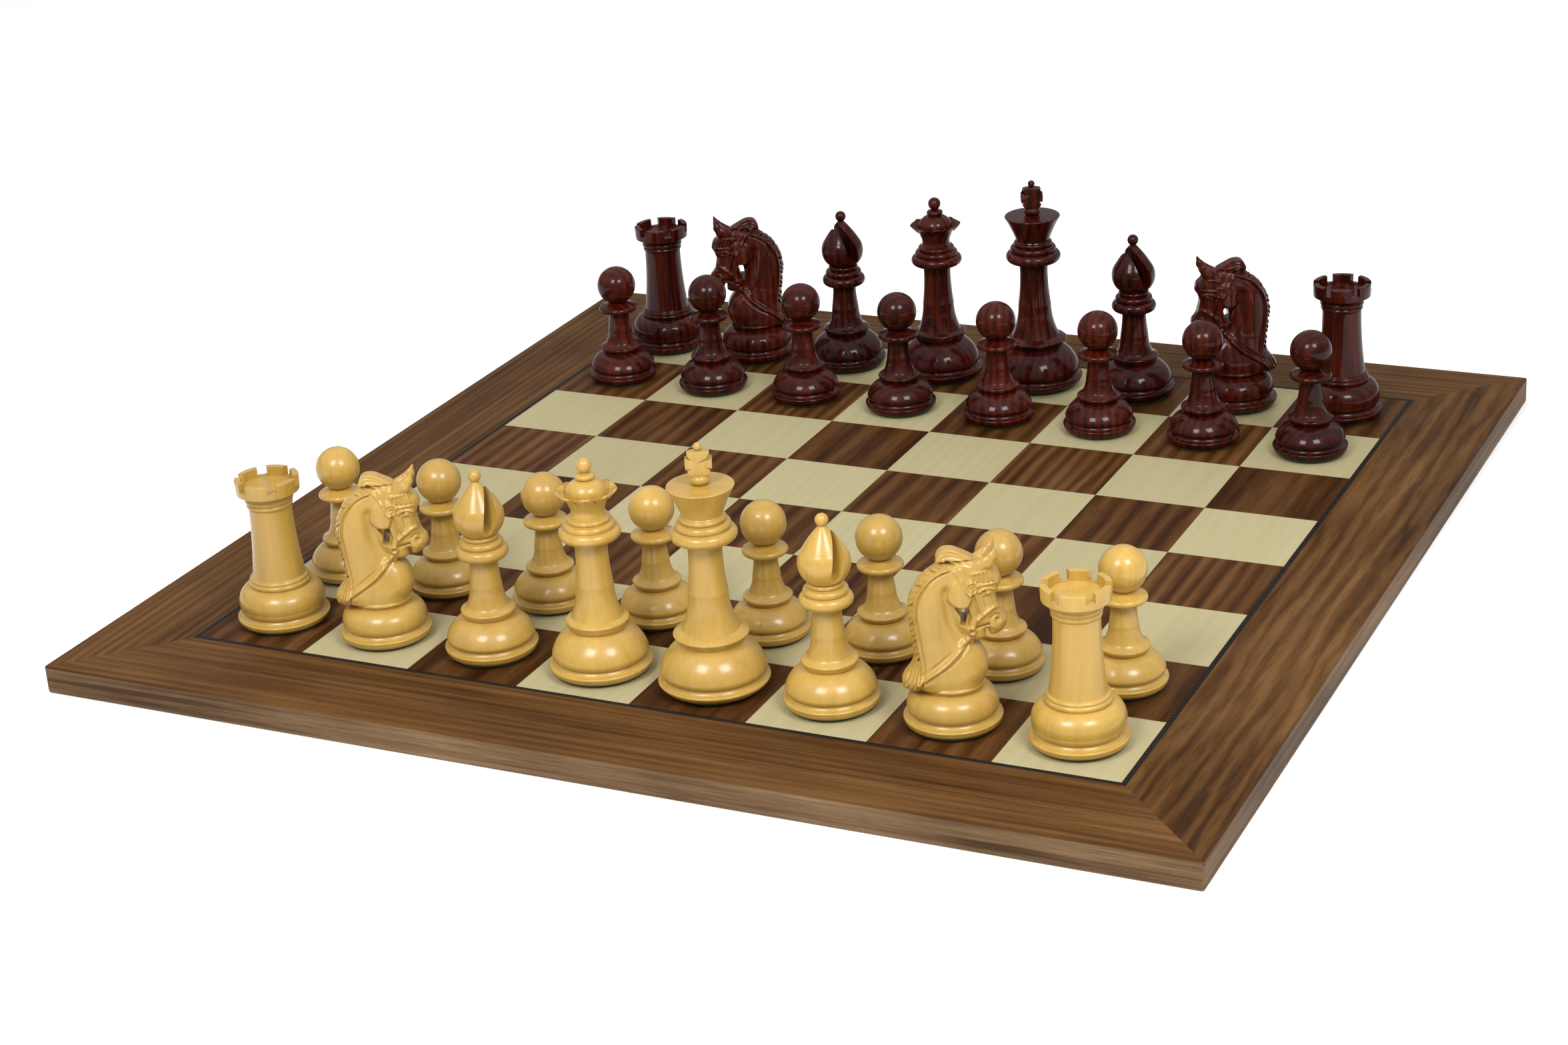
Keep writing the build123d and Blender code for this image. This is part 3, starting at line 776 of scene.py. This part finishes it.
BOXWOOD = timber(
    "Lacquered boxwood",
    [(0.2, (0.44, 0.260, 0.045)), (0.5, (0.515, 0.318, 0.061)), (0.8, (0.575, 0.372, 0.084))],
    (0.37, 0.21, 0.038), streak=150, ring=2.6, wander=3.0, ring_share=0.06, pores=0.08, roughness=0.42,
    coat=0.6, coat_roughness=0.2, bump=0.06, tint=0.24, seeded_pieces=True)
RED_WOOD = timber(
    "Lacquered red wood",
    [(0.22, (0.014, 0.0015, 0.001)), (0.5, (0.044, 0.0046, 0.002)), (0.85, (0.105, 0.013, 0.0045))],
    (0.008, 0.0015, 0.001), streak=190, ring=4.0, wander=5.0, ring_share=0.25, pores=0.35, roughness=0.38,
    coat=0.32, coat_roughness=0.09, gloss=0.05, bump=0.06, tint=0.45, seeded_pieces=True)
DULL = {"roughness": 0.5, "coat": 0.0, "gloss": 0.06}      # the board's satin finish
DARK_SQUARE = timber(
    "Walnut squares",
    [(0.25, (0.035, 0.012, 0.003)), (0.45, (0.072, 0.027, 0.0065)), (0.62, (0.10, 0.042, 0.012)),
     (0.85, (0.15, 0.07, 0.024))],
    (0.016, 0.005, 0.002), along="Y", streak=250, stretch=20, ring=7, wander=3.0, ring_share=0.35,
    pores=0.45, bump=0.12, tint=0.32, per_square=True, **DULL)
LIGHT_SQUARE = timber(
    "Maple squares",
    [(0.2, (0.365, 0.318, 0.175)), (0.5, (0.385, 0.337, 0.187)), (0.8, (0.40, 0.353, 0.205))],
    (0.34, 0.29, 0.155), along="Y", streak=200, stretch=18, ring=6, wander=2.5, ring_share=0.2,
    pores=0.12, bump=0.05, tint=0.07, per_square=True, **DULL)
BORDER_STOPS = [
    (0.25, (0.032, 0.012, 0.003)), (0.43, (0.072, 0.030, 0.008)), (0.58, (0.104, 0.047, 0.014)),
    (0.78, (0.15, 0.074, 0.025)),
]
BORDER_PORES = (0.025, 0.009, 0.003)
PLAIN_FIGURE = {"streak": 330, "stretch": 45, "ring": 5, "wander": 2.5, "ring_share": 0.1, "pores": 0.45}
WAVY_FIGURE = {"streak": 110, "stretch": 14, "ring": 9, "wander": 6.5, "ring_share": 0.22, "pores": 0.4}
BORDERS = {
    side: timber("Walnut veneer, " + side, BORDER_STOPS, BORDER_PORES, along=axis, **figure, **DULL)
    for side, axis, figure in (
        ("front", "X", PLAIN_FIGURE), ("left", "Y", PLAIN_FIGURE), ("right", "Y", WAVY_FIGURE))
}
BORDERS["back"] = BORDERS["front"]
EDGE_STOPS = [
    (0.22, (0.05, 0.026, 0.012)), (0.40, (0.13, 0.077, 0.038)), (0.57, (0.20, 0.125, 0.066)),
    (0.80, (0.30, 0.20, 0.115)),
]
EDGES = {
    axis: timber("Walnut lipping along " + axis, EDGE_STOPS, (0.03, 0.012, 0.01), along=axis, streak=420,
                 stretch=60, ring=3, wander=2.0, ring_share=0.3, pores=0.6, bump=0.25, **DULL)
    for axis in "XY"
}
BLACK_LINE = timber(
    "Black dyed line", [(0.2, (0.006, 0.005, 0.005)), (0.8, (0.022, 0.018, 0.016))], (0.003, 0.003, 0.003),
    along="X", streak=300, pores=0.5, **DULL)
FIBREBOARD = timber(
    "Fibreboard", [(0.2, (0.24, 0.15, 0.08)), (0.8, (0.36, 0.24, 0.14))], (0.2, 0.12, 0.06), streak=900,
    stretch=1.5, ring_share=0.0, pores=0.4, roughness=0.85, coat=0.0, bump=0.4)


def felt_finish():
    f = Finish("Green felt")
    spot = f.add("TexCoord", {}, out=3)
    fuzz = f.noise(spot, 2600, 6.0, 0.7)
    lumps = f.noise(spot, 420, 3.0)
    colour = f.ramp(f.math("ADD", f.math("MULTIPLY", fuzz, 0.7), f.math("MULTIPLY", lumps, 0.3)),
                    [(0.3, (0.006, 0.035, 0.012)), (0.55, (0.02, 0.10, 0.035)), (0.8, (0.05, 0.19, 0.07))])
    normal = f.add("Bump", {"Strength": 0.7, "Distance": 0.0003, "Height": fuzz})
    f.put(f.shader, {"Base Color": colour, "Roughness": 0.95, "Normal": normal, "Sheen Weight": 0.4,
                     "Sheen Roughness": 0.5})
    return f.material


def steel_finish():
    f = Finish("Steel weight")
    spot = f.vector("MULTIPLY", f.add("TexCoord", {}, out=3), (1, 1, 6))
    turning = f.noise(spot, 900, 4.0)
    colour = f.ramp(turning, [(0.3, (0.30, 0.30, 0.31)), (0.7, (0.46, 0.46, 0.47))])
    rough = f.add("MapRange", {"Value": turning, "To Min": 0.3, "To Max": 0.5})
    normal = f.add("Bump", {"Strength": 0.15, "Distance": 0.0002, "Height": turning})
    f.put(f.shader, {"Base Color": colour, "Metallic": 1.0, "Roughness": rough, "Normal": normal})
    return f.material


FELT_CLOTH = felt_finish()
STEEL = steel_finish()
WOODS = {"white": (BOXWOOD, "boxwood"), "red": (RED_WOOD, "red_wood")}


# ---------------------------------------------------------------------------
# The board keeps its CAD shapes and gets its finishes
# ---------------------------------------------------------------------------
def paint(node, material):
    part = frame["nodes"][node]
    for place in part.material_slots:
        place.material = material


paint("core_panel", FIBREBOARD)
paint("backing_veneer", BORDERS["front"])
paint("dark_squares", DARK_SQUARE)
paint("light_squares", LIGHT_SQUARE)
for side in ("front", "right", "back", "left"):
    paint("line_" + side, BLACK_LINE)
    paint("border_" + side, BORDERS[side])
    paint("lipping_" + side, EDGES["X" if side in ("front", "back") else "Y"])


# ---------------------------------------------------------------------------
# The chessmen
# ---------------------------------------------------------------------------
BOARD_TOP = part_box("light_squares")[1][2]
men = [name for name in frame["bodies"] if name != "board"]
for seed, man in enumerate(sorted(men)):
    colour, kind = man.split("_")[:2]
    wood, wood_slot = WOODS[colour]
    heading = HEADINGS[colour] + (BISHOP_TURN if kind == "bishop" else 0)
    low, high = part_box(man)
    at = Vector(((low[0] + high[0]) / 2, (low[1] + high[1]) / 2, BOARD_TOP))
    turned = stand(man + ".wood", MESHES[kind], wood, man, at, heading, seed)
    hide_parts(man)
    base = stand(man + ".felt", FELTS[kind], FELT_CLOTH, man, at, heading, seed)
    if kind == "king":
        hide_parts(man + "_felt")
        paint(man + "_weight", STEEL)
        cross = stand(man + ".cross", CROSS, wood, man, at, heading, seed)
        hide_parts(man + "_cross")
    if kind == "knight":
        head = stand(man + ".head", HEAD, wood, man, at, heading, seed)
        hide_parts(man + "_head")

# ---------------------------------------------------------------------------
# Camera, lights and floor
# ---------------------------------------------------------------------------
AZIMUTH, ELEVATION, ROLL = 0.465853, 0.397417, -0.065002
TARGET = Vector((-0.020908, -0.021002, 0.013))
DISTANCE = 1.453158
right = Vector((math.cos(AZIMUTH), math.sin(AZIMUTH), 0))
back = Vector((math.sin(AZIMUTH) * math.cos(ELEVATION), -math.cos(AZIMUTH) * math.cos(ELEVATION),
               math.sin(ELEVATION)))
up = back.cross(right)
across = math.cos(ROLL) * right + math.sin(ROLL) * up
upward = math.cos(ROLL) * up - math.sin(ROLL) * right
lens = bpy.data.cameras.new("camera")
lens.lens = 69.432
lens.sensor_width = 36
lens.clip_end = 100
camera = bpy.data.objects.new("camera", lens)
camera.matrix_world = Matrix((across, upward, back)).transposed().to_4x4()
camera.location = TARGET + back * DISTANCE
bpy.context.scene.collection.objects.link(camera)
bpy.context.scene.camera = camera


def softbox(name, turn, elevation, distance, size, watts):
    """A square light round the board, turned by that angle from the camera."""
    around = AZIMUTH + math.radians(turn)
    rise = math.radians(elevation)
    towards = Vector((math.sin(around) * math.cos(rise), -math.cos(around) * math.cos(rise), math.sin(rise)))
    data = bpy.data.lights.new(name, "AREA")
    data.shape = "SQUARE"
    data.size = size
    data.energy = watts
    lamp = bpy.data.objects.new(name, data)
    lamp.rotation_euler = towards.to_track_quat("Z", "Y").to_euler()
    lamp.location = towards * distance
    bpy.context.scene.collection.objects.link(lamp)


softbox("softbox_left", turn=-31, elevation=45, distance=1.6, size=0.48, watts=13)
softbox("softbox_right", turn=27, elevation=45, distance=1.6, size=0.48, watts=13)
SKY_AT_HORIZON, SKY_OVERHEAD = 0.29, 1.06      # strength of the white sky, darker towards the horizon
world = bpy.data.worlds.new("studio")
world.use_nodes = True
sky = world.node_tree.nodes.new("ShaderNodeTexCoord")
rise = world.node_tree.nodes.new("ShaderNodeSeparateXYZ")
level = world.node_tree.nodes.new("ShaderNodeMapRange")
level.inputs["To Min"].default_value = SKY_AT_HORIZON
level.inputs["To Max"].default_value = SKY_OVERHEAD
world.node_tree.links.new(sky.outputs["Generated"], rise.inputs[0])
world.node_tree.links.new(rise.outputs["Z"], level.inputs["Value"])
world.node_tree.links.new(level.outputs[0], world.node_tree.nodes["Background"].inputs[1])
world.node_tree.nodes["Background"].inputs[0].default_value = (1, 1, 1, 1)
bpy.context.scene.world = world
bpy.context.scene.view_settings.view_transform = "Standard"

floor_mesh = bpy.data.meshes.new("floor")
reach = 20
corners = [(-reach, -reach, 0), (reach, -reach, 0), (reach, reach, 0), (-reach, reach, 0)]
floor_mesh.from_pydata(corners, [], [(0, 1, 2, 3)])
floor = bpy.data.objects.new("floor", floor_mesh)
bpy.context.scene.collection.objects.link(floor)
paper = Finish("Paper")
paper.put(paper.shader, {"Base Color": (0.94, 0.94, 0.94, 1), "Roughness": 0.9,
                         "Emission Color": (1, 1, 1, 1), "Emission Strength": 0.12})
floor_mesh.materials.append(paper.material)
